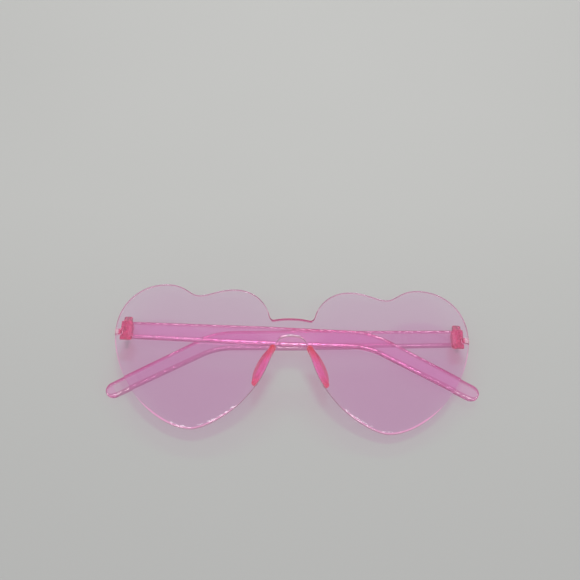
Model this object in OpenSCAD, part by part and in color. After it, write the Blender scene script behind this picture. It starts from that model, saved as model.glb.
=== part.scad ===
// Heart shaped sunglasses, folded and lying lens side up.
// The lens is one curved sheet of clear plastic cut as two hearts joined by a bridge.
// Each temple turns on a three barrel hinge whose end piece plugs into a notch in the lens edge.
// X runs across the lens, Y from the heart tips up to the lobes, Z up from the table.

/* [Lens] */
// Width over both hearts
lens_w = 150; // [135:1:165]
// Height of a heart from its tip to the top of its outer lobe
heart_h = 62.5; // [56:0.5:68]
// Thickness of the lens sheet
lens_t = 2; // [1.5:0.1:2.6]
// Radius of the ball that the front of the lens follows
lens_r = 500; // [400:10:900]
// Pitch of the lens against the temples
lens_pitch = 13; // [10:0.5:13.5]

/* [Hinges] */
// Distance of each hinge axis in from the side of the lens
hinge_inset = 2.6; // [2.2:0.1:4]
// Gap from the hinge axis up to the back of the lens
hinge_standoff = 7.6; // [7.4:0.1:9]
// How far the middle of the hinge lies above the notch in the lens edge
hinge_rise = 8.2; // [7.5:0.1:8.6]
// Radius of the hinge barrels
barrel_r = 1.35; // [1.2:0.05:1.5]
// Height of each of the two outer barrels
outer_barrel_h = 2.8; // [2.4:0.1:3.2]
// Height of the middle barrel
middle_barrel_h = 2.6; // [2.2:0.1:3]
// Radius of the screw shank
shank_r = 0.6; // [0.5:0.05:0.7]
// Radius of the screw head
screw_head_r = 1.1; // [1:0.05:1.3]
// Height of the screw head
screw_head_h = 0.6; // [0.4:0.1:0.9]

/* [Temples] */
// Thickness of a temple
temple_t = 2.6; // [2.2:0.1:2.6]
// Width of a temple at the hinge
temple_w = 8.5; // [7.6:0.1:9]
// Width of a temple at its widest, past the middle of its straight part
temple_wide_w = 9.5; // [8.6:0.1:10]
// Width of a temple where the ear bend starts
temple_bend_w = 8.9; // [8:0.1:9.4]
// Width of a temple at its round tip
temple_tip_w = 7.4; // [6.4:0.1:8]
// Length of the straight part of a temple
temple_straight = 98.4; // [92:0.2:102]
// Length of the ear hook after the bend
temple_hook = 39; // [34:0.2:42]
// Angle that the straight part drops towards the heart tips
temple_drop = 1.8; // [0:0.1:2.5]
// Angle of the ear bend
ear_bend = 30; // [26:0.2:34]
// Radius of the ear bend along the middle of the temple
ear_bend_r = 30; // [24:1:36]

/* [Nose pads] */
// Radius of the leaf shaped blade of a nose pad
pad_r = 10.3; // [9.6:0.1:11]
// Depth of the blade behind the lens
pad_depth = 6.9; // [6:0.1:7.6]
// Thickness of the blade in its middle
pad_t = 2.4; // [1.8:0.1:2.8]
// Angle that the blade spreads away from the nose
pad_spread = 34; // [28:1:42]

/* [Hidden] */
$fn = 48;

// Clearances
running_gap = 0.05;
seat_gap = 0.08;
seat_ease = 0.05;
barrel_gap = 0.1;
swing_gap = 0.3;
arm_gap = 0.25;
stack_gap = 0.3;
cut_over = 1;

// Places worked out from the driving sizes
half_w = lens_w / 2;
hinge_x = half_w - hinge_inset;
back_r = lens_r - lens_t;
arm_top = -barrel_r - arm_gap;
arm_low = arm_top - temple_t;
stack_step = temple_t + stack_gap;
right_axis_z = -arm_low;
left_axis_z = right_axis_z + stack_step;
axis_z = (left_axis_z + right_axis_z) / 2;
front_roll = asin(stack_step / 2 / hinge_x);
barrels_h = 2 * outer_barrel_h + middle_barrel_h + 2 * barrel_gap;
body_low = barrel_r + swing_gap;

// Fall of the lens surface below its middle at a distance from the lens axis
function sag(d, r) = r - sqrt(r * r - d * d);

// Height of the lens origin above the hinge line: the notch line lies hinge_rise below the hinge
lens_rise = hinge_standoff + (lens_t + sag(hinge_x, lens_r)) / cos(lens_pitch)
  - hinge_rise * tan(lens_pitch);

// Outline of the right heart, from the middle of the bridge over the lobes to the middle of
// the nose arch. Each row is a knot: its place across as a share of half the lens width, its
// place upward as a share of the heart height, the heading of the curve through it, and the
// lengths of its handles before and after it as shares of half the lens width.
knot_shares = [
  [0, 0.095, 0, 0, 0.05],
  [0.1, 0.083, -10, 0.03, 0.02],
  [0.13, 0.12, 75, 0.015, 0.07],
  [0.335, 0.305, 0, 0.12, 0.09],
  [0.535, 0.26, 0, 0.06, 0.06],
  [0.74, 0.35, 0, 0.12, 0.15],
  [1, 0.03, -90, 0.16, 0.15],
  [0.84, -0.435, -130, 0.12, 0.14],
  [0.52, -0.652, 180, 0.1, 0.06],
  [0.24, -0.453, 130, 0.13, 0.13],
  [0.08, -0.07, 108, 0.2, 0.02],
  [0, -0.03, 180, 0.04, 0]
];
curve_steps = 10;

function knot_at(k) = [k[0] * half_w, k[1] * heart_h];
function handle(heading, share) = share * half_w * [cos(heading), sin(heading)];
function bezier(a, b, c, d, t) =
  pow(1 - t, 3) * a + 3 * pow(1 - t, 2) * t * b + 3 * (1 - t) * t * t * c + pow(t, 3) * d;

right_outline = [
  for (i = [0 : len(knot_shares) - 2], s = [0 : curve_steps - 1])
    let (k = knot_shares[i], n = knot_shares[i + 1])
      bezier(knot_at(k), knot_at(k) + handle(k[2], k[4]),
             knot_at(n) - handle(n[2], n[3]), knot_at(n), s / curve_steps)
];
arch_middle = knot_at(knot_shares[len(knot_shares) - 1]);
left_outline = [for (i = [len(right_outline) - 1 : -1 : 1]) [-right_outline[i][0], right_outline[i][1]]];
lens_outline = concat(right_outline, [arch_middle], left_outline);

// Depth of the outline on the table, which puts the origin under the middle of the part
function table_y(p) = p[1] * cos(lens_pitch) + sag(norm(p), lens_r) * sin(lens_pitch);
outline_y = [for (p = lens_outline) table_y(p)];
notch_y = -(max(outline_y) + lens_t * sin(lens_pitch) + min(outline_y)) / 2;
hinge_y = notch_y + hinge_rise;

// Notch in the lens edge, which reaches just past the hinge, and the lug that fills it
notch_w = 2.4;
notch_past = 0.4;
notch_depth = hinge_inset + notch_past;
lug_proud = 0.3;
lug_deep = 0.4;

// End piece block: a foot over the hinge barrels that widens inward to a post under the lens
block_in = 2.4;
block_out = barrel_r;
block_foot = barrels_h / 2;
block_corner = 1.2;
block_head = 1.5;
block_sole = 1.1;
block_nose = 4.6;
block_shoulder = 6.2;
block_step = 0.75;
post_in = 4.4;
post_out = 0.5;
lean_low = 2.4;
lean_high = 4.2;

// Screw slot
slot_w = 0.35;
slot_d = 0.3;
shank_end = 0.3;

// Temple section and lengthwise rings
temple_end = 1.3;
temple_lift = 0.7;
temple_wide_share = 0.6;
temple_edge_r = 1.2;
edge_share = 0.45;
edge_steps = 4;
bend_steps = 10;
tip_steps = 6;
tip_cut_share = 0.08;
tip_thin_share = 0.35;

// Nose pad: the ends of its seat on the lens as shares of half the width and of the heart height
pad_top_share = [0.096, -0.088];
pad_foot_share = [0.2, -0.366];
pad_rim_cut = 0.6;
pad_steps = 6;
pad_flange_t = 0.8;
pad_flange_w = 2.4;
slit_w = 0.45;
slit_l = 5;
slit_pitch = 1.5;
slit_up = 3.5;

// Frame of the hinge line: origin midway between the hinges, which lie on its X axis
module front_place() {
  translate([0, hinge_y, axis_z])
    rotate([0, front_roll, 0])
      children();
}

// Frame of the lens: origin at the middle of its front face, on the notch line
module lens_place() {
  front_place()
    translate([0, -hinge_rise, lens_rise])
      rotate([lens_pitch, 0, 0])
        children();
}

// Ball that the lens follows, with its poles off to the sides
module lens_ball(r) {
  translate([0, 0, -lens_r])
    rotate([0, 90, 0])
      sphere(r = r, $fn = 360);
}

// Frame that lies flat on the back of the lens at a point of the lens plan
module on_lens_back(p) {
  turn = atan2(p[1], p[0]);
  translate([0, 0, -lens_r])
    rotate([0, 0, turn])
      rotate([0, asin(norm(p) / back_r), 0])
        translate([0, 0, back_r])
          rotate([0, 0, -turn])
            children();
}

// Plan of the notch, widened or narrowed by a gap, running out past the lens edge
module notch_plan(gap, past) {
  r = notch_w / 2 - gap;
  reach = notch_depth - notch_w / 2;
  translate([half_w - reach, 0])
    circle(r = r);
  translate([half_w - reach, -r])
    square([reach + past, 2 * r]);
}

module mirrored(side) {
  if (side < 0)
    mirror([1, 0, 0])
      children();
  else
    children();
}

module shield_lens() {
  deep = sag(norm([half_w, heart_h]), lens_r) + lens_t + cut_over;
  color([0.98, 0.72, 0.88, 0.6])
    lens_place()
      difference() {
        intersection() {
          translate([0, 0, -deep])
            linear_extrude(height = deep + cut_over)
              polygon(lens_outline);
          lens_ball(lens_r);
        }
        lens_ball(back_r);
        for (side = [-1, 1])
          mirrored(side)
            translate([0, 0, -deep])
              linear_extrude(height = deep + cut_over)
                notch_plan(0, cut_over);
      }
}

// Outer barrel whose lower face is at height y along the hinge axis, with its web up to the block
module outer_barrel(y) {
  translate([0, y, 0])
    rotate([-90, 0, 0])
      cylinder(r = barrel_r, h = outer_barrel_h);
  translate([-barrel_r, y, 0])
    cube([2 * barrel_r, outer_barrel_h, body_low + block_step / 2]);
}

module hinge_bore() {
  translate([0, -barrels_h / 2 - cut_over, 0])
    rotate([-90, 0, 0])
      cylinder(r = shank_r + running_gap, h = barrels_h + 2 * cut_over);
}

// Side profile of the block, drawn in the plane of the hinge axis and the lens depth
module block_profile() {
  top = lens_rise;
  foot = -hinge_rise - block_sole;
  polygon([
    [-block_foot, body_low],
    [block_foot, body_low],
    [block_foot, body_low + block_step],
    [-block_head, block_shoulder],
    [-block_head, top],
    [foot, top],
    [foot, block_nose]
  ]);
}

// Front profile of the block, narrow over the hinge and wide under the lens
module block_lean() {
  polygon([
    [-block_in, 0],
    [block_out, 0],
    [block_out, lean_low],
    [post_out, lean_high],
    [post_out, lens_rise],
    [-post_in, lens_rise],
    [-post_in, lean_high],
    [-block_in, lean_low]
  ]);
}

// Plate with round corners between two opposite corners
module round_plate(low, high) {
  size = high - low;
  far = size - [block_corner, block_corner];
  translate(low) {
    translate([block_corner, 0])
      square([far[0] - block_corner, size[1]]);
    translate([0, block_corner])
      square([size[0], far[1] - block_corner]);
    for (x = [block_corner, far[0]], y = [block_corner, far[1]])
      translate([x, y])
        circle(r = block_corner);
  }
}

// Plan of the block, its foot and its post
module block_plan() {
  end = -hinge_rise - block_sole;
  round_plate([-block_in, end], [block_out, block_foot]);
  round_plate([-post_in, end], [post_out, -block_head]);
}

module end_piece(side) {
  color([0.93, 0.42, 0.62, 0.8])
    front_place()
      mirrored(side)
        difference() {
          union() {
            intersection() {
              translate([hinge_x - post_in, 0, 0])
                rotate([90, 0, 90])
                  linear_extrude(height = post_in + block_out)
                    block_profile();
              translate([hinge_x, block_foot, 0])
                rotate([90, 0, 0])
                  linear_extrude(height = block_foot + hinge_rise + block_sole)
                    block_lean();
              translate([hinge_x, 0, 0])
                linear_extrude(height = lens_rise)
                  block_plan();
              below_lens(-seat_ease);
            }
            translate([hinge_x, 0, 0]) {
              outer_barrel(-barrels_h / 2);
              outer_barrel(barrels_h / 2 - outer_barrel_h);
            }
            end_piece_lug();
          }
          translate([hinge_x, 0, 0])
            hinge_bore();
        }
}

// Everything below the plane that touches the back of the lens over the post, raised by a lift
module below_lens(lift) {
  span = 2 * lens_rise;
  post_middle = [hinge_x + (post_out - post_in) / 2, (hinge_rise - block_head - block_sole) / 2];
  translate([0, -hinge_rise, lens_rise])
    rotate([lens_pitch, 0, 0])
      on_lens_back(post_middle)
        translate([-span / 2, -span / 2, lift - span])
          cube(span);
}

// Lug that stands in the notch and just proud of the lens face
module end_piece_lug() {
  deep = sag(half_w, lens_r) + lens_t + lug_deep;
  intersection() {
    translate([0, -hinge_rise, lens_rise])
      rotate([lens_pitch, 0, 0])
        translate([0, 0, -deep])
          linear_extrude(height = deep)
            notch_plan(seat_gap, -seat_gap);
    below_lens(lens_t + lug_proud);
  }
}

module left_end_piece() {
  end_piece(-1);
}

module right_end_piece() {
  end_piece(1);
}

// Slotted screw through the barrels, its head on the top barrel
module hinge_screw(side) {
  head_y = barrels_h / 2;
  color([0.28, 0.2, 0.24])
    front_place()
      mirrored(side)
        translate([hinge_x, head_y, 0])
          rotate([-90, 0, 0])
            difference() {
              union() {
                cylinder(r = screw_head_r, h = screw_head_h);
                translate([0, 0, -barrels_h - shank_end])
                  cylinder(r = shank_r, h = barrels_h + shank_end + screw_head_h / 2);
              }
              translate([-slot_w / 2, -screw_head_r - cut_over, screw_head_h - slot_d])
                cube([slot_w, 2 * (screw_head_r + cut_over), slot_d + cut_over]);
            }
}

module left_hinge_screw() {
  hinge_screw(-1);
}

module right_hinge_screw() {
  hinge_screw(1);
}

// Leaf shaped blade that swells to its middle, standing on a thin flange on the back of the lens
module nose_pad(side) {
  top = [pad_top_share[0] * half_w, pad_top_share[1] * heart_h];
  foot = [pad_foot_share[0] * half_w, pad_foot_share[1] * heart_h];
  run = norm(foot - top);
  color([0.98, 0.35, 0.45, 0.8])
    lens_place()
      mirrored(side)
        on_lens_back((top + foot) / 2)
          rotate([0, 0, atan2(foot[1] - top[1], foot[0] - top[0])])
            intersection() {
              union() {
                pad_blade();
                pad_flange(run);
              }
              translate([0, 0, -seat_ease])
                pad_seat();
            }
}

module pad_blade() {
  rim = pad_r - pad_rim_cut;
  swell_r = (pad_r * pad_r + pad_t * pad_t / 4) / pad_t;
  half = [for (i = [0 : pad_steps]) let (d = rim * i / pad_steps) [d, pad_t / 2 - sag(d, swell_r)]];
  rotate([pad_spread, 0, 0])
    translate([0, 0, pad_r - pad_depth])
      rotate([90, 0, 0])
        difference() {
          rotate_extrude($fn = 96)
            polygon(concat(half, [for (i = [pad_steps : -1 : 0]) [half[i][0], -half[i][1]]]));
          for (y = [-1, 1])
            translate([-slit_up, -pad_depth / 2 + y * slit_pitch / 2, 0])
              cube([slit_l, slit_w, 2 * pad_t], center = true);
        }
}

module pad_flange(run) {
  end = pad_flange_w / 2;
  translate([0, 0, -pad_flange_t])
    linear_extrude(height = pad_flange_t) {
      translate([end - run / 2, -end])
        square([run - pad_flange_w, pad_flange_w]);
      for (x = [end - run / 2, run / 2 - end])
        translate([x, 0])
          circle(r = end);
    }
}

// Round plug whose domed end follows the back of the lens
module pad_seat() {
  reach = pad_r + cut_over;
  dome = [for (i = [0 : pad_steps]) let (d = reach * i / pad_steps) [d, -sag(d, back_r)]];
  rotate_extrude($fn = 96)
    polygon(concat([[0, -2 * pad_r]], dome, [[reach, -2 * pad_r]]));
}

module left_nose_pad() {
  nose_pad(-1);
}

module right_nose_pad() {
  nose_pad(1);
}

// Rings of the temple: place along the middle line, heading, width and thickness
bend_len = ear_bend_r * ear_bend * PI / 180;
bend_start = [temple_straight * cos(temple_drop), temple_lift - temple_straight * sin(temple_drop)];
function bend_point(turn) = bend_start + ear_bend_r
  * [sin(temple_drop + turn) - sin(temple_drop), cos(temple_drop + turn) - cos(temple_drop)];
bend_end = bend_point(ear_bend);
hook_way = [cos(temple_drop + ear_bend), -sin(temple_drop + ear_bend)];
tip_r = temple_tip_w / 2;

function lerp(a, b, t) = a + (b - a) * t;
function straight_ring(far, w) =
  [[far * cos(temple_drop), temple_lift - far * sin(temple_drop)], temple_drop, w, temple_t];
function width_at(t) = lerp(temple_bend_w, temple_tip_w, t);

temple_rings = concat(
  [straight_ring(-temple_end, temple_w), straight_ring(temple_wide_share * temple_straight, temple_wide_w)],
  [for (i = [0 : bend_steps])
    let (t = i / bend_steps, done = t * bend_len / (bend_len + temple_hook))
      [bend_point(t * ear_bend), temple_drop + t * ear_bend, width_at(done), temple_t]],
  [for (i = [0 : tip_steps])
    let (a = 90 * (1 - tip_cut_share) * i / tip_steps, slim = 1 - tip_thin_share * (1 - cos(a)))
      [bend_end + hook_way * (temple_hook + tip_r * sin(a)), temple_drop + ear_bend,
       temple_tip_w * cos(a), temple_t * slim]]
);

// Rounded rectangle of a ring, counted from its right edge round to the top
function ring_corner(w, t, e, q) = [
  for (i = [0 : edge_steps])
    let (a = 90 * (q + i / edge_steps))
      [sign(cos(90 * q + 45)) * (w / 2 - e) + e * cos(a), sign(sin(90 * q + 45)) * (t / 2 - e) + e * sin(a)]
];
function ring_section(w, t) =
  let (e = min(temple_edge_r, edge_share * t, edge_share * w))
    [for (q = [0 : 3], p = ring_corner(w, t, e, q)) p];
function ring_points(r) = [
  for (p = ring_section(r[2], r[3]))
    [r[0][0] + p[0] * sin(r[1]), r[0][1] + p[0] * cos(r[1]), arm_top - temple_t / 2 + p[1]]
];
ring_n = 4 * (edge_steps + 1);

module temple_bar() {
  rings = len(temple_rings);
  points = [for (r = temple_rings, p = ring_points(r)) p];
  sides = [
    for (i = [0 : rings - 2], j = [0 : ring_n - 1])
      let (a = i * ring_n + j, b = i * ring_n + (j + 1) % ring_n)
        each [[a, a + ring_n, b], [b, a + ring_n, b + ring_n]]
  ];
  near_end = [for (j = [0 : ring_n - 1]) j];
  far_end = [for (j = [ring_n - 1 : -1 : 0]) (rings - 1) * ring_n + j];
  polyhedron(points = points, faces = concat([near_end, far_end], sides), convexity = 4);
}

module middle_barrel() {
  translate([0, -middle_barrel_h / 2, 0])
    rotate([-90, 0, 0])
      cylinder(r = barrel_r, h = middle_barrel_h);
  translate([-barrel_r, -middle_barrel_h / 2, arm_top - temple_t / 4])
    cube([2 * barrel_r, middle_barrel_h, -arm_top + temple_t / 4]);
}

// Temple folded flat, level with the table
module temple(side, height) {
  color([0.95, 0.62, 0.82, 0.7])
    translate([side * hinge_x * cos(front_roll), hinge_y, height])
      mirrored(-side)
        difference() {
          union() {
            temple_bar();
            middle_barrel();
          }
          hinge_bore();
        }
}

module left_temple() {
  temple(-1, left_axis_z);
}

module right_temple() {
  temple(1, right_axis_z);
}

shield_lens();
left_end_piece();
right_end_piece();
left_hinge_screw();
right_hinge_screw();
left_nose_pad();
right_nose_pad();
left_temple();
right_temple();
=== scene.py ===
import math

import bpy
from mathutils import Matrix, Vector
from mathutils.geometry import delaunay_2d_cdt


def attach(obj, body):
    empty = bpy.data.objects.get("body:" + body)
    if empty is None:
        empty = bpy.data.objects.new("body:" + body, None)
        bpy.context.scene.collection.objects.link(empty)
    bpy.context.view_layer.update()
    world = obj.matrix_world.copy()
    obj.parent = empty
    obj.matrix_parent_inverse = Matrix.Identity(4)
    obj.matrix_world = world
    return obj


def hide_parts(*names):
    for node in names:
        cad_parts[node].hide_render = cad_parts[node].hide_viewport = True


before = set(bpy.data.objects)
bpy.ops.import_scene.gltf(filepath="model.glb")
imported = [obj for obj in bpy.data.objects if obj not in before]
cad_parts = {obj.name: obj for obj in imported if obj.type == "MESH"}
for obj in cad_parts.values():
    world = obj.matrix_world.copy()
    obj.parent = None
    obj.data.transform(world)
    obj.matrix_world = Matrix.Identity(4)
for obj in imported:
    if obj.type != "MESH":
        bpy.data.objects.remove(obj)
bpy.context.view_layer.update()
scene = bpy.context.scene

# Shapes are worked out in millimetres, and a millimetre is this many metres
MM = 0.001
# Points closer than this, in millimetres, are the same point
SMALL = 0.001

# Sizes shared with the solids: lengths in millimetres, angles in radians, shares and steps
LENS_W = 150.0
HEART_H = 62.5
LENS_T = 2.0
LENS_R = 500.0
LENS_PITCH = math.radians(13)
NOTCH_W = 2.4
NOTCH_PAST = 0.4
HINGE_INSET = 2.6
HINGE_STANDOFF = 7.6
HINGE_RISE = 8.2
BARREL_R = 1.35
MIDDLE_BARREL_H = 2.6
SHANK_R = 0.6
RUNNING_GAP = 0.05
ARM_GAP = 0.25
STACK_GAP = 0.3
TEMPLE_T = 2.6
TEMPLE_W = 8.5
TEMPLE_WIDE_W = 9.5
TEMPLE_WIDE_SHARE = 0.6
TEMPLE_BEND_W = 8.9
TEMPLE_TIP_W = 7.4
TEMPLE_STRAIGHT = 98.4
TEMPLE_HOOK = 39.0
TEMPLE_DROP = math.radians(1.8)
TEMPLE_END = 1.3
TEMPLE_LIFT = 0.7
EAR_BEND = math.radians(30)
EAR_BEND_R = 30.0
EDGE_R = 1.2
EDGE_SHARE = 0.45
TIP_CUT_SHARE = 0.08
TIP_THIN_SHARE = 0.35
SOLID_CURVE_STEPS = 10

# Outline of the right heart, the same shares as in the solids: across, up, heading,
# and the handles before and after the knot
KNOT_SHARES = [
    (0, 0.095, 0, 0, 0.05),
    (0.1, 0.083, -10, 0.03, 0.02),
    (0.13, 0.12, 75, 0.015, 0.07),
    (0.335, 0.305, 0, 0.12, 0.09),
    (0.535, 0.26, 0, 0.06, 0.06),
    (0.74, 0.35, 0, 0.12, 0.15),
    (1, 0.03, -90, 0.16, 0.15),
    (0.84, -0.435, -130, 0.12, 0.14),
    (0.52, -0.652, 180, 0.1, 0.06),
    (0.24, -0.453, 130, 0.13, 0.13),
    (0.08, -0.07, 108, 0.2, 0.02),
    (0, -0.03, 180, 0.04, 0)]

# Places worked out from these sizes, as in the solids
HALF_W = LENS_W / 2
HINGE_X = HALF_W - HINGE_INSET
ARM_TOP = -BARREL_R - ARM_GAP
RIGHT_AXIS_Z = TEMPLE_T - ARM_TOP
LEFT_AXIS_Z = RIGHT_AXIS_Z + TEMPLE_T + STACK_GAP
FRONT_ROLL = math.asin((TEMPLE_T + STACK_GAP) / 2 / HINGE_X)
BEND_LENGTH = EAR_BEND_R * EAR_BEND


def sag(d, r):
    """Fall of a ball's surface below its top at a distance from its axis."""
    return r - math.sqrt(r * r - d * d)


def knot_point(knot):
    return Vector((knot[0] * HALF_W, knot[1] * HEART_H))


def handle(heading, share):
    angle = math.radians(heading)
    return share * HALF_W * Vector((math.cos(angle), math.sin(angle)))


def bezier(a, b, c, d, t):
    return (1 - t) ** 3 * a + 3 * (1 - t) ** 2 * t * b + 3 * (1 - t) * t * t * c + t ** 3 * d


def outline(steps):
    """Closed outline of the lens in its own plane, clockwise from the middle of the bridge."""
    right = []
    for knot, after in zip(KNOT_SHARES, KNOT_SHARES[1:]):
        start, end = knot_point(knot), knot_point(after)
        leaving = start + handle(knot[2], knot[4])
        arriving = end - handle(after[2], after[3])
        right += [bezier(start, leaving, arriving, end, s / steps) for s in range(steps)]
    arch = knot_point(KNOT_SHARES[-1])
    return right + [arch] + [Vector((-p.x, p.y)) for p in reversed(right[1:])]


def table_y(p):
    """Place of an outline point along the table, counted from the notch line."""
    return p.y * math.cos(LENS_PITCH) + sag(p.length, LENS_R) * math.sin(LENS_PITCH)


outline_y = [table_y(p) for p in outline(SOLID_CURVE_STEPS)]
NOTCH_Y = -(max(outline_y) + LENS_T * math.sin(LENS_PITCH) + min(outline_y)) / 2
HINGE_Y = NOTCH_Y + HINGE_RISE
LENS_RISE = (HINGE_STANDOFF + (LENS_T + sag(HINGE_X, LENS_R)) / math.cos(LENS_PITCH)
             - HINGE_RISE * math.tan(LENS_PITCH))
FRONT = (Matrix.Translation((0, HINGE_Y, (LEFT_AXIS_Z + RIGHT_AXIS_Z) / 2))
         @ Matrix.Rotation(FRONT_ROLL, 4, "Y"))
LENS = (FRONT @ Matrix.Translation((0, -HINGE_RISE, LENS_RISE))
        @ Matrix.Rotation(LENS_PITCH, 4, "X"))


def make_object(name, verts, faces, normals, body, materials, kinds=()):
    """A mesh in the row frame from millimetre points, with a normal given for every point.

    kinds gives the place of each face's material in the list of materials.
    """
    mesh = bpy.data.meshes.new(name)
    mesh.from_pydata([tuple(v * MM) for v in verts], [], faces)
    mesh.validate()
    for poly in mesh.polygons:
        poly.use_smooth = True
    mesh.normals_split_custom_set_from_vertices([tuple(n.normalized()) for n in normals])
    mesh.update()
    obj = bpy.data.objects.new(name, mesh)
    scene.collection.objects.link(obj)
    for material in materials:
        mesh.materials.append(material)
    for poly, kind in zip(mesh.polygons, kinds):
        poly.material_index = kind
    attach(obj, body)
    return obj


# Shader nodes
def node(tree, kind, x, y, sockets=None, **settings):
    """A node at a place in the tree, with its settings and the values of some of its sockets."""
    made = tree.nodes.new("ShaderNode" + kind)
    made.location = (x, y)
    for key, value in settings.items():
        setattr(made, key, value)
    for key, value in (sockets or {}).items():
        made.inputs[key].default_value = value
    return made


def noise(tree, vector, x, y, scale, detail):
    made = node(tree, "TexNoise", x, y, {"Scale": scale, "Detail": detail})
    tree.links.new(vector, made.inputs["Vector"])
    return made.outputs["Fac"]


def map_range(tree, value, x, y, limits):
    made = node(tree, "MapRange", x, y, limits)
    tree.links.new(value, made.inputs["Value"])
    return made.outputs["Result"]


def blend(tree, first, second, factor, x, y):
    """Mix of two colors, each given as plain numbers or as an output."""
    mix = node(tree, "Mix", x, y, data_type="RGBA")
    for key, color in (("A", first), ("B", second)):
        if isinstance(color, tuple):
            mix.inputs[key].default_value = (*color, 1)
        else:
            tree.links.new(color, mix.inputs[key])
    tree.links.new(factor, mix.inputs["Factor"])
    return mix.outputs["Result"]


def larger(tree, first, second, x, y):
    made = node(tree, "Math", x, y, operation="MAXIMUM")
    tree.links.new(first, made.inputs[0])
    tree.links.new(second, made.inputs[1])
    return made.outputs["Value"]


def mix_shaders(tree, factor, first, second, x, y):
    mix = node(tree, "MixShader", x, y)
    tree.links.new(factor, mix.inputs["Fac"])
    tree.links.new(first, mix.inputs[1])
    tree.links.new(second, mix.inputs[2])
    return mix.outputs["Shader"]


def beyond(tree, coord, axis, middle, reach, soft):
    """0 near the middle along one axis of the object and 1 beyond the reach, in metres."""
    split = node(tree, "SeparateXYZ", -900, 700)
    tree.links.new(coord, split.inputs["Vector"])
    off = node(tree, "Math", -750, 700, {1: middle}, operation="SUBTRACT")
    tree.links.new(split.outputs[axis], off.inputs[0])
    far = node(tree, "Math", -600, 700, operation="ABSOLUTE")
    tree.links.new(off.outputs["Value"], far.inputs[0])
    limits = {"From Min": reach - soft, "From Max": reach + soft}
    return map_range(tree, far.outputs["Value"], -450, 700, limits)


# Materials
PLASTIC_IOR = 1.49
# Cloudy change of the tint: scale and detail of its noise, and the share of the shade in it
CLOUD_SCALE, CLOUD_DETAIL, CLOUD_SHARE = 90.0, 2.0, 0.04
# Rubbed patches: scale and detail of their noise, and the noise between which they grow rougher
RUB_SCALE, RUB_DETAIL, RUB_FROM, RUB_TO = 260.0, 4.0, 0.45, 0.8
# Moulding ripples: scale and detail of their noise, over coordinates that are scaled first
RIPPLE_SCALE, RIPPLE_DETAIL, RIPPLE_STRENGTH = 1.0, 1.5, 1.0
# Grain of the screws: scale and detail of its noise, its darkest and lightest shares, its roughness
GRAIN_SCALE, GRAIN_DETAIL, GRAIN_DARK, GRAIN_LIGHT = 2600.0, 3.0, 0.7, 1.4
GRAIN_SMOOTH, GRAIN_ROUGH = 0.28, 0.5


def empty_material(name):
    material = bpy.data.materials.new(name)
    material.use_nodes = True
    material.node_tree.nodes.clear()
    return material


def clear_plastic(name, tint, shade, rough, rub=0.02, clear=1.0, wave=None, graze_shade=None, far=None,
                  depth=None):
    """Tinted plastic that bends the view and lets light of its shade through to the table.

    rub is how much rougher the rubbed patches are. Where clear is under 1 a part of the plastic glows
    cloudy. wave is the height of the moulding ripples in metres and their scale along each axis. deep
    is a darker tint at grazing angles, painted shade for the dark bands that long paths and inner
    reflections give at rounded edges, and the facing values between which it comes in. far is another
    tint, and the axis, middle, reach and softness of the place beyond which it comes in. depth is the
    color and the density of the absorption inside.
    """
    material = empty_material(name)
    tree = material.node_tree
    out = node(tree, "OutputMaterial", 900, 0)
    bsdf = node(tree, "BsdfPrincipled", 300, 100, {"Transmission Weight": clear, "IOR": PLASTIC_IOR})
    coord = node(tree, "TexCoord", -1100, 0).outputs["Object"]
    cloud = noise(tree, coord, -700, 250, CLOUD_SCALE, CLOUD_DETAIL)
    cloudy = tuple(c * (1.0 - CLOUD_SHARE) + CLOUD_SHARE * s for c, s in zip(tint, shade))
    color = blend(tree, tint, cloudy, cloud, -300, 350)
    if far:
        color = blend(tree, color, far[0], beyond(tree, coord, *far[1:]), -100, 500)
    # a darker tint at grazing angles: painted shade for the dark bands at rounded edges
    if graze_shade:
        facing = node(tree, "LayerWeight", -300, 600).outputs["Facing"]
        graze = map_range(tree, facing, -100, 700, {"From Min": graze_shade[1], "From Max": graze_shade[2]})
        color = blend(tree, color, graze_shade[0], graze, 80, 500)
    tree.links.new(color, bsdf.inputs["Base Color"])
    patches = noise(tree, coord, -700, -50, RUB_SCALE, RUB_DETAIL)
    limits = {"From Min": RUB_FROM, "From Max": RUB_TO, "To Min": rough, "To Max": rough + rub}
    tree.links.new(map_range(tree, patches, -300, 50, limits), bsdf.inputs["Roughness"])
    if wave:
        scaled = node(tree, "Mapping", -900, 0, {"Scale": wave[1]})
        tree.links.new(coord, scaled.inputs["Vector"])
        ripple = noise(tree, scaled.outputs["Vector"], -700, -350, RIPPLE_SCALE, RIPPLE_DETAIL)
        bump = node(tree, "Bump", -100, -350, {"Strength": RIPPLE_STRENGTH, "Distance": wave[0]})
        tree.links.new(ripple, bump.inputs["Height"])
        tree.links.new(bump.outputs["Normal"], bsdf.inputs["Normal"])
    # light that casts a shadow or comes off a matt surface goes straight through
    path = node(tree, "LightPath", 300, 450)
    straight = larger(tree, path.outputs["Is Shadow Ray"], path.outputs["Is Diffuse Ray"], 480, 450)
    through = node(tree, "BsdfTransparent", 300, -450, {"Color": (*shade, 1)})
    mix = mix_shaders(tree, straight, bsdf.outputs["BSDF"], through.outputs["BSDF"], 650, 0)
    tree.links.new(mix, out.inputs["Surface"])
    if depth:
        inside = node(tree, "VolumeAbsorption", 650, -300, {"Color": (*depth[0], 1), "Density": depth[1]})
        tree.links.new(inside.outputs["Volume"], out.inputs["Volume"])
    return material


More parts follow.
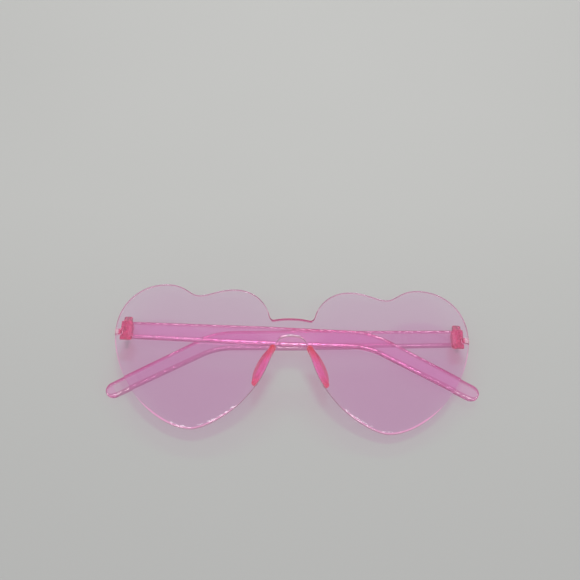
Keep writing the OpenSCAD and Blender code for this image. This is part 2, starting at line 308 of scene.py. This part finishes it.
def steel(name, color):
    """Dark plated metal with a fine random grain in its color and its roughness."""
    material = empty_material(name)
    tree = material.node_tree
    out = node(tree, "OutputMaterial", 600, 0)
    bsdf = node(tree, "BsdfPrincipled", 300, 0, {"Metallic": 1.0})
    coord = node(tree, "TexCoord", -700, 0).outputs["Object"]
    grain = noise(tree, coord, -500, 0, GRAIN_SCALE, GRAIN_DETAIL)
    dark = tuple(c * GRAIN_DARK for c in color)
    light = tuple(c * GRAIN_LIGHT for c in color)
    tree.links.new(blend(tree, dark, light, grain, -200, 150), bsdf.inputs["Base Color"])
    limits = {"To Min": GRAIN_SMOOTH, "To Max": GRAIN_ROUGH}
    tree.links.new(map_range(tree, grain, -200, -100, limits), bsdf.inputs["Roughness"])
    tree.links.new(bsdf.outputs["BSDF"], out.inputs["Surface"])
    return material


LENS_TINT = (1.0, 0.81, 0.97)
LENS_SHADE = (0.966, 0.80, 0.925)
TEMPLE_SHADE = (1.0, 0.95, 0.985)
LENS_MAT = clear_plastic("lens_plastic", LENS_TINT, LENS_SHADE, 0.0, rub=0.012)
BEVEL_MAT = clear_plastic("lens_bevel_plastic", LENS_TINT, LENS_SHADE, 0.03,
                          wave=(0.00016, (420, 420, 420)))
# The clear lens's side wall gets a cloudy pink share that the lamps light into a painted glow along the
# rim, and a darker tint at grazing angles that is painted shade
WALL_MAT = clear_plastic("lens_edge_plastic", (1.0, 0.66, 0.78), LENS_SHADE, 0.05, clear=0.55,
                         graze_shade=((0.75, 0.42, 0.52), 0.6, 0.95))
# Dark saturated pink on the rim along the top of the bridge: painted shade for the dark line that shows
# there
BRIDGE_SHADE_MAT = clear_plastic("lens_bridge_shaded_plastic", (0.66, 0.12, 0.30), (0.97, 0.72, 0.82), 0.10,
                           clear=0.7)
# Side wall low down, at the tips and in the middle: cloudier and pinker, lit into a painted glow, and
# darker at grazing angles, which is painted shade
LOW_WALL_MAT = clear_plastic("lens_tip_plastic", (1.0, 0.56, 0.76), LENS_SHADE, 0.10, clear=0.35,
                             graze_shade=((0.80, 0.20, 0.32), 0.75, 0.97))
TEMPLE_MAT = clear_plastic("temple_plastic", (1.0, 0.64, 0.88), TEMPLE_SHADE, 0.01, clear=0.94,
                           wave=(0.00002, (60, 160, 160)))
# The rounded edges of the temples are tinted darker than the flat faces, and darker still at grazing
# angles: painted shade for the dark bands that inner reflections give there
TEMPLE_EDGE_SHADE_MAT = clear_plastic("temple_edge_shaded_plastic", (0.90, 0.27, 0.56), TEMPLE_SHADE, 0.01,
                                clear=0.96, wave=(0.00003, (220, 220, 220)),
                                graze_shade=((0.62, 0.10, 0.32), 0.4, 0.8))
# Nose pads: their hot red ends are a painted glow, and their darker tint at grazing angles is painted
# shade
PAD_MAT = clear_plastic("nose_pad_plastic", (1.0, 0.36, 0.66), (0.97, 0.88, 0.92), 0.03,
                        clear=0.72, wave=(0.0002, (500, 500, 500)),
                        far=((1.0, 0.13, 0.16), "Y", -0.0058, 0.0055, 0.003),
                        graze_shade=((0.90, 0.06, 0.14), 0.4, 0.8), depth=((1.0, 0.10, 0.45), 120.0))
# End pieces: their darker tint at grazing angles is painted shade
END_MAT = clear_plastic("end_piece_plastic", (1.0, 0.26, 0.48), (0.97, 0.78, 0.85), 0.03,
                        clear=0.80, wave=(0.0002, (700, 700, 700)),
                        far=((1.0, 0.80, 0.90), "X", 0.0, 0.0734, 0.0002),
                        graze_shade=((0.80, 0.06, 0.22), 0.4, 0.85), depth=((1.0, 0.10, 0.35), 60.0))
SCREW_MAT = steel("screw_metal", (0.10, 0.07, 0.08))


# Lens sheet
# Steps along each curve of the outline, round the end of a notch, and over the back round
CURVE_STEPS, NOTCH_STEPS, BACK_STEPS = 14, 14, 5
# Width of the polished bevel along the hearts, at their tips, and along the bridge and the arch
RIM_W, TIP_BEVEL_W, BRIDGE_BEVEL_W = 0.22, 1.0, 0.5
# Slope of the bevel at the arch and everywhere else
ARCH_LEAN, BEVEL_LEAN = math.radians(20), math.radians(13)
# Heights between which the bevel widens towards the tips
TIP_FROM_Y, TIP_TO_Y = -27.0, -35.0
# Half widths of the zone of the bridge and the arch and of their wider bevel, and the height that
# parts the bridge from the arch
BRIDGE_X, BRIDGE_BEVEL_X, BRIDGE_Y = 10.5, 8.5, 2.0
# Height below which the side wall is cloudier, a painted glow along the lower rims
LOW_WALL_Y = -5.0
# Strip over which the sheet turns into the bevel
BEVEL_START = 0.04
# Small round outside the bevel: the inset of its start and of its middle and its depth, as shares of
# RIM_W, and the angle of the normal in its middle
ROUND_SHARE, MIDDLE_SHARE, DEPTH_SHARE, ROUND_TURN = 0.3, 0.1, 0.6, math.radians(55)
# Rings over the bevel and its round, and the strips of the rim that are part of the bevel
FRONT_RINGS, BEVEL_STRIPS = 4, 3
# The sides of the lens start this far in from its width
SIDE_ZONE = 2.0
# Points of the outline closer to a notch than this are left out
NOTCH_CLEAR = 2 * RIM_W
# The outer corners of a notch lie this far in from the width of the lens, and its walls have a point
# this far out from the middle of its round end
NOTCH_CORNER, NOTCH_STRAIGHT = 0.01, 0.5
# At a sharp corner of the outline an inset grows by at most one over this share
CORNER_SHARE = 0.45
# Grid of the sheet: its cell, its clearance from the rim as a share of the cell, half its height and
# its middle, and how close two of its points are joined
CELL, CLEAR_SHARE, GRID_HALF_H, GRID_MIDDLE_Y, JOIN = 2.6, 0.45, 45.0, -8.0, 1e-6
# Materials of the faces, by their places in the list that the lens gets
SHEET, BEVEL, WALL, BRIDGE_SHADE_RIM, LOW_WALL = 0, 1, 2, 3, 4


def bevel_width(p):
    """Width of the polished bevel, wider towards the tips of the hearts."""
    if abs(p.x) < BRIDGE_BEVEL_X:
        return BRIDGE_BEVEL_W
    share = min(1.0, max(0.0, (p.y - TIP_FROM_Y) / (TIP_TO_Y - TIP_FROM_Y)))
    return RIM_W + (TIP_BEVEL_W - RIM_W) * share


def front_rings(p):
    """Inset, depth and normal angle of the rings over the front bevel and its small outer round."""
    lean = ARCH_LEAN if abs(p.x) < BRIDGE_X and p.y < BRIDGE_Y else BEVEL_LEAN
    wide = bevel_width(p)
    start = ROUND_SHARE * RIM_W
    low = math.tan(lean) * (wide - start)
    return [(wide - BEVEL_START, 0, lean), (start, low, lean),
            (MIDDLE_SHARE * RIM_W, low + start, ROUND_TURN),
            (0, low + DEPTH_SHARE * RIM_W, math.pi / 2)]


def with_notches(loop):
    """The clockwise outline with a notch cut into each side."""
    half = NOTCH_W / 2
    middle = HALF_W - (HINGE_INSET + NOTCH_PAST) + half
    corner = HALF_W - NOTCH_CORNER
    arc = [math.pi * j / NOTCH_STEPS for j in range(NOTCH_STEPS + 1)]
    right = [Vector((corner, half)), Vector((middle + NOTCH_STRAIGHT, half))]
    right += [Vector((middle - half * math.sin(a), half * math.cos(a))) for a in arc]
    right += [Vector((middle + NOTCH_STRAIGHT, -half)), Vector((corner, -half))]
    left = [Vector((-p.x, p.y)) for p in reversed(right)]
    side = HALF_W - SIDE_ZONE
    kept = [p for p in loop if abs(p.x) <= side or abs(p.y) >= half + NOTCH_CLEAR]
    out = []
    for p, after in zip(kept, kept[1:] + kept[:1]):
        out.append(p)
        if p.x > side and p.y > 0 > after.y:
            out += right
        if p.x < -side and p.y < 0 < after.y:
            out += left
    return out


def outward(loop):
    """Outward direction at each point of a clockwise loop, and how much an inset grows there."""
    ways = []
    for before, p, after in zip(loop[-1:] + loop[:-1], loop, loop[1:] + loop[:1]):
        a = (p - before).normalized()
        b = (after - p).normalized()
        mean = (a + b).normalized()
        share = max(CORNER_SHARE, math.sqrt(max(0.0, (1 + a.dot(b)) / 2)))
        ways.append((Vector((-mean.y, mean.x)), 1 / share))
    return ways


def inside(p, ring):
    """Whether a ring holds a point, by the number of its sides to the right of the point."""
    hit = False
    for a, b in zip(ring, ring[-1:] + ring[:-1]):
        if (a.y > p.y) != (b.y > p.y) and p.x < (b.x - a.x) * (p.y - a.y) / (b.y - a.y) + a.x:
            hit = not hit
    return hit


def sheet_grid(ring):
    """Staggered points inside a ring and clear of it, for an even mesh."""
    columns, rows = int(HALF_W / CELL) + 1, int(GRID_HALF_H / CELL) + 1
    clear = (CLEAR_SHARE * CELL) ** 2
    points = []
    for column in range(-columns, columns + 1):
        for row in range(-rows, rows + 1):
            p = Vector((column * CELL + (row % 2) * CELL / 2, row * CELL + GRID_MIDDLE_Y))
            if inside(p, ring) and min((p - q).length_squared for q in ring) > clear:
                points.append(p)
    return points


def sheet_point(p, depth):
    """Point in the row frame at a depth behind the front of the sheet."""
    return LENS @ Vector((p.x, p.y, -sag(p.length, LENS_R) - depth))


def sheet_depth(p):
    """Thickness of the sheet along the axis of the lens, a little more away from its middle."""
    return LENS_T * (1 + p.length_squared / (2 * LENS_R ** 2))


def sheet_up(p):
    """Direction straight out of the front of the sheet."""
    up = Vector((p.x, p.y, math.sqrt(LENS_R ** 2 - p.length_squared)))
    return (LENS.to_3x3() @ up).normalized()


def rim_kind(kind, p):
    """Material of a rim face that starts at a point of the outline."""
    middle = abs(p.x) < BRIDGE_X
    # the top of the rim over the bridge takes the painted shade, and the wall low down or in the middle
    # the cloudier painted glow
    if middle and p.y > BRIDGE_Y:
        return BRIDGE_SHADE_RIM
    if kind == WALL and (middle or p.y < LOW_WALL_Y):
        return LOW_WALL
    return kind


def rim_point(corner, way, growth, step):
    """Point and normal of a ring of the rim at one point of the outline."""
    if step < FRONT_RINGS:
        inset, depth, turn = front_rings(corner)[step]
        p = corner - way * inset * growth
        up = sheet_up(p)
    else:
        turn = math.pi / 2 * (1 - (step - FRONT_RINGS) / BACK_STEPS)
        inset = RIM_W * (1 - math.sin(turn))
        p = corner - way * inset * growth
        depth = sheet_depth(p) - RIM_W + RIM_W * math.cos(turn)
        up = -sheet_up(p)
    side = (LENS.to_3x3() @ Vector((way.x, way.y, 0))).normalized()
    return sheet_point(p, depth), side * math.sin(turn) + up * math.cos(turn)


def lens_mesh():
    """Double curved sheet with a polished front bevel, a small back round and a notch in each side."""
    loop = with_notches(outline(CURVE_STEPS))
    n = len(loop)
    ways = outward(loop)
    inner = [p - way * bevel_width(p) * growth for p, (way, growth) in zip(loop, ways)]
    sides = [(i, (i + 1) % n) for i in range(n)]
    points, _, triangles, origins, _, _ = delaunay_2d_cdt(inner + sheet_grid(inner), sides, [], 1, JOIN)
    index = {old: new for new, olds in enumerate(origins) for old in olds}
    back = len(points)
    verts = [sheet_point(p, 0) for p in points] + [sheet_point(p, sheet_depth(p)) for p in points]
    ups = [sheet_up(p) for p in points]
    normals = ups + [-up for up in ups]
    faces = []
    for a, b, c in triangles:
        if (points[b] - points[a]).cross(points[c] - points[a]) < 0:
            b, c = c, b
        faces += [(a, b, c), (a + back, c + back, b + back)]
    kinds = [SHEET] * len(faces)
    # rings of the rim, from the front edge of the sheet over the bevel, the side wall and the back
    # round to its back edge
    rings = [[index[i] for i in range(n)]]
    for step in range(FRONT_RINGS + BACK_STEPS + 1):
        rings.append(range(len(verts), len(verts) + n))
        for corner, (way, growth) in zip(loop, ways):
            point, normal = rim_point(corner, way, growth, step)
            verts.append(point)
            normals.append(normal)
    rings.append([index[i] + back for i in range(n)])
    for strip, (ring, after) in enumerate(zip(rings, rings[1:])):
        kind = BEVEL if strip < BEVEL_STRIPS else WALL
        for i, j in sides:
            # the back edge of the sheet is inset like the front edge, so the last strip has a width
            # only where the bevel is wider than the back round
            if max((verts[ring[k]] - verts[after[k]]).length for k in (i, j)) < SMALL:
                continue
            faces.append((ring[i], ring[j], after[j], after[i]))
            kinds.append(rim_kind(kind, loop[i]))
    return verts, faces, normals, kinds


verts, faces, normals, kinds = lens_mesh()
lens = make_object("lens_sheet", verts, faces, normals, "front",
                   [LENS_MAT, BEVEL_MAT, WALL_MAT, BRIDGE_SHADE_MAT, LOW_WALL_MAT], kinds)
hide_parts("shield_lens")


# Temples
# Rings along the hinge end, the straight part, the bend, the hook and the tip
END_STEPS, STRAIGHT_STEPS, BEND_STEPS, HOOK_STEPS, TIP_STEPS = 4, 110, 24, 44, 14
# Rounding of the hinge end: its length, and how much slimmer its first ring is
END_ROUND, END_SLIM = 0.35 * EDGE_R, 0.5
# Steps round each corner of the section, and how close to a facet, in radians, one is left out
CORNER_STEPS, STEP_CLEAR = 6, 0.02
# Polished facets on the far and the near upper edge: width, its largest share of the temple's width,
# and the angles of their normals
FACET_W, FACET_SHARE, FACET_TILTS = 0.4, 0.1, (math.radians(80), math.radians(123))
# The facets wobble: two wave lengths along the edge, share of the width, and turn of each normal
WOBBLE_LONG, WOBBLE_SHORT, WOBBLE_WIDTH = 4.3, 2.9, 0.3
WOBBLE_TILTS = (math.radians(1.5), math.radians(2.5))
# Steps round the top of the middle barrel, and along each side of its web
ARC_STEPS, WEB_STEPS = 24, 6
# Materials of the faces, by their places in the list that a temple bar gets; the rounded edges take the
# darker one, which is painted shade
FLAT, EDGE = 0, 1


def point_along(start, heading, far):
    """Point at a distance from the start, on a heading that drops from the X axis."""
    return start[0] + far * math.cos(heading), start[1] - far * math.sin(heading)


def straight_width(share):
    """Width at a share of the straight part."""
    if share < TEMPLE_WIDE_SHARE:
        return TEMPLE_W + (TEMPLE_WIDE_W - TEMPLE_W) * share / TEMPLE_WIDE_SHARE
    narrowing = (TEMPLE_BEND_W - TEMPLE_WIDE_W) * (share - TEMPLE_WIDE_SHARE)
    return TEMPLE_WIDE_W + narrowing / (1 - TEMPLE_WIDE_SHARE)


def bent_width(far):
    """Width at a distance past the start of the bend."""
    done = far / (BEND_LENGTH + TEMPLE_HOOK)
    return TEMPLE_BEND_W + (TEMPLE_TIP_W - TEMPLE_BEND_W) * done


def temple_rings():
    """Rings along the middle line of a temple: point, heading, width and thickness."""
    hinge = (0, TEMPLE_LIFT)
    drop, way = TEMPLE_DROP, TEMPLE_DROP + EAR_BEND
    rings = []
    for i in range(END_STEPS + 1):
        a = math.pi / 2 * i / END_STEPS
        slim = END_SLIM * (1 - math.sin(a))
        far = END_ROUND * (1 - math.cos(a)) - TEMPLE_END
        rings.append((point_along(hinge, drop, far), drop, TEMPLE_W - slim, TEMPLE_T - slim))
    for i in range(1, STRAIGHT_STEPS + 1):
        share = i / STRAIGHT_STEPS
        point = point_along(hinge, drop, TEMPLE_STRAIGHT * share)
        rings.append((point, drop, straight_width(share), TEMPLE_T))
    start = rings[-1][0]
    for i in range(1, BEND_STEPS + 1):
        turn = drop + EAR_BEND * i / BEND_STEPS
        point = (start[0] + EAR_BEND_R * (math.sin(turn) - math.sin(drop)),
                 start[1] + EAR_BEND_R * (math.cos(turn) - math.cos(drop)))
        rings.append((point, turn, bent_width(i / BEND_STEPS * BEND_LENGTH), TEMPLE_T))
    end = rings[-1][0]
    for i in range(1, HOOK_STEPS + 1):
        far = TEMPLE_HOOK * i / HOOK_STEPS
        rings.append((point_along(end, way, far), way, bent_width(BEND_LENGTH + far), TEMPLE_T))
    for i in range(1, TIP_STEPS + 1):
        a = math.pi / 2 * (1 - TIP_CUT_SHARE) * i / TIP_STEPS
        far = TEMPLE_HOOK + TEMPLE_TIP_W / 2 * math.sin(a)
        slim = 1 - TIP_THIN_SHARE * (1 - math.cos(a))
        point = point_along(end, way, far)
        rings.append((point, way, TEMPLE_TIP_W * math.cos(a), TEMPLE_T * slim))
    return rings


def wobble(run, q):
    """Share from -1 to 1 that varies along an edge: the mean of two waves, different on each edge."""
    turn = 2 * math.pi * run
    return 0.5 * math.sin(turn / WOBBLE_LONG + q) + 0.5 * math.sin(turn / WOBBLE_SHORT + 2 * q)


def facet(q, w, run):
    """Angle of a facet's normal, the way from one of its sides to the other, and the normal's turn."""
    tilt = FACET_TILTS[q]
    flat = min(FACET_W, FACET_SHARE * w) * (1 - WOBBLE_WIDTH * (1 + wobble(run, q)) / 2)
    return tilt, flat * Vector((-math.sin(tilt), math.cos(tilt))), WOBBLE_TILTS[q] * wobble(run, q + 1)


def section(w, t, run):
    """Rounded section of a temple, with a facet on each upper edge.

    Each point is across, up, the angle of its normal, and the kind of the side that starts there.
    """
    e = min(EDGE_R, EDGE_SHARE * t, EDGE_SHARE * w)
    points = []
    for q, (sx, sz) in enumerate(((1, 1), (-1, 1), (-1, -1), (1, -1))):
        steps = [(math.pi / 2 * (q + i / CORNER_STEPS), False) for i in range(CORNER_STEPS + 1)]
        center = Vector((sx * (w / 2 - e), sz * (t / 2 - e)))
        tilt, shift, lean = math.inf, Vector((0, 0)), 0
        if sz > 0:
            tilt, shift, lean = facet(q, w, run)
            steps = [step for step in steps if abs(step[0] - tilt) > STEP_CLEAR]
            steps = sorted(steps + [(tilt, False), (tilt, True)])
            # the section keeps its outer size, so the corner moves in by what the facet adds
            if sx > 0:
                center.y -= shift.y
            else:
                center.x -= shift.x
        for a, after in steps:
            past = shift if after or a > tilt else Vector((0, 0))
            point = center + past + e * Vector((math.cos(a), math.sin(a)))
            points.append((point.x, point.y, a + (lean if a == tilt else 0), EDGE))
        points[-1] = points[-1][:3] + (FLAT,)
    return points


def temple_mesh(place):
    """Closed loft of the sections. place turns a local point or direction into the row frame."""
    verts, normals, faces, kinds = [], [], [], []
    rings = temple_rings()
    run = 0.0
    before = rings[0][0]
    for point, heading, w, t in rings:
        run += (Vector(point) - Vector(before)).length
        before = point
        across = Vector((math.sin(heading), math.cos(heading), 0))
        middle = Vector((*point, ARM_TOP - TEMPLE_T / 2))
        ring = section(w, t, run)
        for u, v, a, _ in ring:
            verts.append(place(middle + u * across + Vector((0, 0, v)), True))
            normals.append(place(math.cos(a) * across + Vector((0, 0, math.sin(a))), False))
    n = len(ring)
    for i in range(len(rings) - 1):
        for j in range(n):
            k = (j + 1) % n
            faces.append((i * n + k, (i + 1) * n + k, (i + 1) * n + j, i * n + j))
            kinds.append(ring[j][3])
    # flat ends, with points of their own for their normals
    for i, way in ((0, -1), (len(rings) - 1, 1)):
        heading = rings[i][1]
        base = len(verts)
        verts += [v.copy() for v in verts[i * n:(i + 1) * n]]
        normals += [place(Vector((math.cos(heading), -math.sin(heading), 0)) * way, False)] * n
        order = range(base, base + n)
        faces.append(tuple(order if way > 0 else reversed(order)))
        kinds.append(FLAT)
    return verts, faces, normals, kinds


def barrel_profile():
    """Outer and bore points, with outward directions, of the middle barrel and the web under it."""
    low = ARM_TOP - TEMPLE_T / 4
    arc = [math.pi * i / ARC_STEPS for i in range(ARC_STEPS + 1)]
    outer = [(BARREL_R * math.cos(a), BARREL_R * math.sin(a), math.cos(a), math.sin(a)) for a in arc]
    outer += [(-BARREL_R, low * i / WEB_STEPS, -1, 0) for i in range(1, WEB_STEPS + 1)]
    outer += [(BARREL_R * (2 * i / WEB_STEPS - 1), low, 0, -1) for i in range(WEB_STEPS + 1)]
    outer += [(BARREL_R, low * (1 - i / WEB_STEPS), 1, 0) for i in range(WEB_STEPS)]
    bore = SHANK_R + RUNNING_GAP
    inner = []
    for x, z, _, _ in outer:
        far = math.hypot(x, z)
        inner.append((bore * x / far, bore * z / far, -x / far, -z / far))
    return outer, inner


def barrel_mesh(place):
    """Middle barrel with its web: outer wall, bore wall and the two end faces."""
    outer, inner = barrel_profile()
    verts, normals, faces = [], [], []
    h, n = MIDDLE_BARREL_H / 2, len(outer)
    walls = [(outer, -h, outer, h, 0), (inner, h, inner, -h, 0),
             (outer, h, inner, h, 1), (inner, -h, outer, -h, -1)]
    for first, first_y, second, second_y, end in walls:
        base = len(verts)
        for p, q in zip(first, second):
            for (x, z, nx, nz), y in ((p, first_y), (q, second_y)):
                verts.append(place(Vector((x, y, z)), True))
                normals.append(place(Vector((0, end, 0) if end else (nx, 0, nz)), False))
        for i in range(n):
            j = (i + 1) % n
            # a corner has its point twice, once for each wall's normal, and no face between the two
            if math.dist(first[i][:2], first[j][:2]) > SMALL:
                faces.append((base + 2 * i, base + 2 * i + 1, base + 2 * j + 1, base + 2 * j))
    return verts, faces, normals


def placer(side):
    """Local temple frame to the row frame: the left temple, at side -1, points to +X as it is."""
    hinge = Vector((side * HINGE_X * math.cos(FRONT_ROLL), HINGE_Y,
                    LEFT_AXIS_Z if side < 0 else RIGHT_AXIS_Z))

    def place(v, point):
        v = Vector((-side * v.x, v.y, v.z))
        return v + hinge if point else v
    return place


def turned(faces, side):
    """Faces that still look outward on the right side, which is mirrored."""
    return [tuple(reversed(face)) for face in faces] if side > 0 else faces


for side, name, body in ((-1, "left", "left_arm"), (1, "right", "right_arm")):
    place = placer(side)
    verts, faces, normals, kinds = temple_mesh(place)
    bar = make_object(name + "_temple_bar", verts, turned(faces, side), normals, body,
                      [TEMPLE_MAT, TEMPLE_EDGE_SHADE_MAT], kinds)
    verts, faces, normals = barrel_mesh(place)
    make_object(name + "_temple_barrel", verts, turned(faces, side), normals, body,
                [TEMPLE_MAT])
    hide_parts(name + "_temple")


# Pieces that keep their solids
for kind, material in (("end_piece", END_MAT), ("nose_pad", PAD_MAT), ("hinge_screw", SCREW_MAT)):
    for side in ("left", "right"):
        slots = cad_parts[side + "_" + kind].data.materials
        slots.clear()
        slots.append(material)


# Floor
# Half the width of the floor in metres
FLOOR_HALF = 3
# The two tones that a noise mixes, its scale and detail, and the painted shade nearer to the camera
FLOOR_DARK, FLOOR_LIGHT = (0.512, 0.512, 0.498), (0.532, 0.532, 0.518)
FLOOR_SCALE, FLOOR_DETAIL = 6.0, 2.0
FLOOR_NEAR_SHADE = (0.468, 0.468, 0.459)
FLOOR_ROUGH, FLOOR_SPECULAR = 0.55, 0.25
# Places along Y, in metres, between which the painted shade nearer to the camera comes in
NEAR_FROM, NEAR_TO = 0.10, -0.10


def floor_material():
    """Matt table top, with painted shade that darkens it a little towards the camera."""
    material = bpy.data.materials.new("table_top")
    material.use_nodes = True
    tree = material.node_tree
    bsdf = tree.nodes["Principled BSDF"]
    bsdf.inputs["Roughness"].default_value = FLOOR_ROUGH
    bsdf.inputs["Specular IOR Level"].default_value = FLOOR_SPECULAR
    coord = node(tree, "TexCoord", -700, 0).outputs["Object"]
    patches = noise(tree, coord, -500, 0, FLOOR_SCALE, FLOOR_DETAIL)
    tone = blend(tree, FLOOR_DARK, FLOOR_LIGHT, patches, -200, 0)
    split = node(tree, "SeparateXYZ", -500, 300)
    tree.links.new(coord, split.inputs["Vector"])
    # painted shade: the table darkens towards the camera
    near = map_range(tree, split.outputs["Y"], -300, 300, {"From Min": NEAR_FROM, "From Max": NEAR_TO})
    tree.links.new(blend(tree, tone, FLOOR_NEAR_SHADE, near, -50, 100), bsdf.inputs["Base Color"])
    return material


mesh = bpy.data.meshes.new("table_top")
corners = [(-FLOOR_HALF, -FLOOR_HALF, 0), (FLOOR_HALF, -FLOOR_HALF, 0),
           (FLOOR_HALF, FLOOR_HALF, 0), (-FLOOR_HALF, FLOOR_HALF, 0)]
mesh.from_pydata(corners, [], [(0, 1, 2, 3)])
floor = bpy.data.objects.new("table_top", mesh)
scene.collection.objects.link(floor)
floor.data.materials.append(floor_material())


# Light
# Soft light of the room, and the plain tone that the camera, gloss and clear plastic see instead
FILL_COLOR, FILL_STRENGTH, SEEN_COLOR = (0.97, 0.985, 1.0), 0.37, (0.72, 0.72, 0.71)
world = bpy.data.worlds.new("room")
scene.world = world
world.use_nodes = True
tree = world.node_tree
fill = tree.nodes["Background"]
fill.inputs["Color"].default_value = (*FILL_COLOR, 1)
fill.inputs["Strength"].default_value = FILL_STRENGTH
seen = node(tree, "Background", 0, -200, {"Color": (*SEEN_COLOR, 1), "Strength": 1.0})
path = node(tree, "LightPath", -400, 200)
gloss = larger(tree, path.outputs["Is Camera Ray"], path.outputs["Is Glossy Ray"], -200, 200)
shows = larger(tree, gloss, path.outputs["Is Transmission Ray"], -50, 300)
room = mix_shaders(tree, shows, fill.outputs["Background"], seen.outputs["Background"], 200, 0)
tree.links.new(room, tree.nodes["World Output"].inputs["Surface"])


def lamp(name, place, size, watts, color=(1, 1, 1)):
    """Softbox at a place in metres, turned to the origin."""
    data = bpy.data.lights.new(name, "AREA")
    data.shape = "RECTANGLE"
    data.size, data.size_y = size
    data.energy = watts
    data.color = color
    obj = bpy.data.objects.new(name, data)
    scene.collection.objects.link(obj)
    obj.location = place
    obj.rotation_mode = "QUATERNION"
    obj.rotation_quaternion = (Vector((0, 0, 0)) - Vector(place)).to_track_quat("-Z", "Y")
    return obj


key = lamp("key", place=(0.08, 0.36, 1.35), size=(0.34, 0.16), watts=6.4, color=(1, 0.995, 0.98))
key.visible_glossy = False
key.visible_transmission = False
lamp("near_strip", place=(0, -0.69, 1.12), size=(1.4, 0.12), watts=4.4)
lamp("far_strip", place=(0, 1.4, 1.08), size=(1.4, 0.14), watts=7.0)


# Camera
# Turn, elevation and roll, matched to the photograph
YAW, ELEVATION, ROLL = math.radians(-2.2), math.radians(52), math.radians(0.9)
# Point that it looks at, across and along the table from the notch line, and its distance from there
AIM_X, AIM_Y, DISTANCE = -1.6, 36.5, 295.0
# Focal length and width of the photograph in pixels, and the width of the sensor in millimetres
FOCAL_PIXELS, PHOTO_PIXELS, SENSOR_W = 620.0, 580.0, 36.0
CLIP_START, CLIP_END = 0.01, 20.0
level = math.cos(ELEVATION)
back = Vector((-math.sin(YAW) * level, -math.cos(YAW) * level, math.sin(ELEVATION)))
right = Vector((math.cos(YAW), -math.sin(YAW), 0))
up = back.cross(right)
camera_x = right * math.cos(ROLL) - up * math.sin(ROLL)
camera_y = right * math.sin(ROLL) + up * math.cos(ROLL)
eye = Vector((AIM_X, AIM_Y + NOTCH_Y, 0)) + DISTANCE * back
camera_data = bpy.data.cameras.new("camera")
camera_data.sensor_width = SENSOR_W
camera_data.lens = FOCAL_PIXELS / PHOTO_PIXELS * SENSOR_W
camera_data.clip_start = CLIP_START
camera_data.clip_end = CLIP_END
camera = bpy.data.objects.new("camera", camera_data)
scene.collection.objects.link(camera)
stand = Matrix((camera_x, camera_y, back)).transposed().to_4x4()
stand.translation = eye * MM
camera.matrix_world = stand
scene.camera = camera
scene.view_settings.view_transform = "Standard"
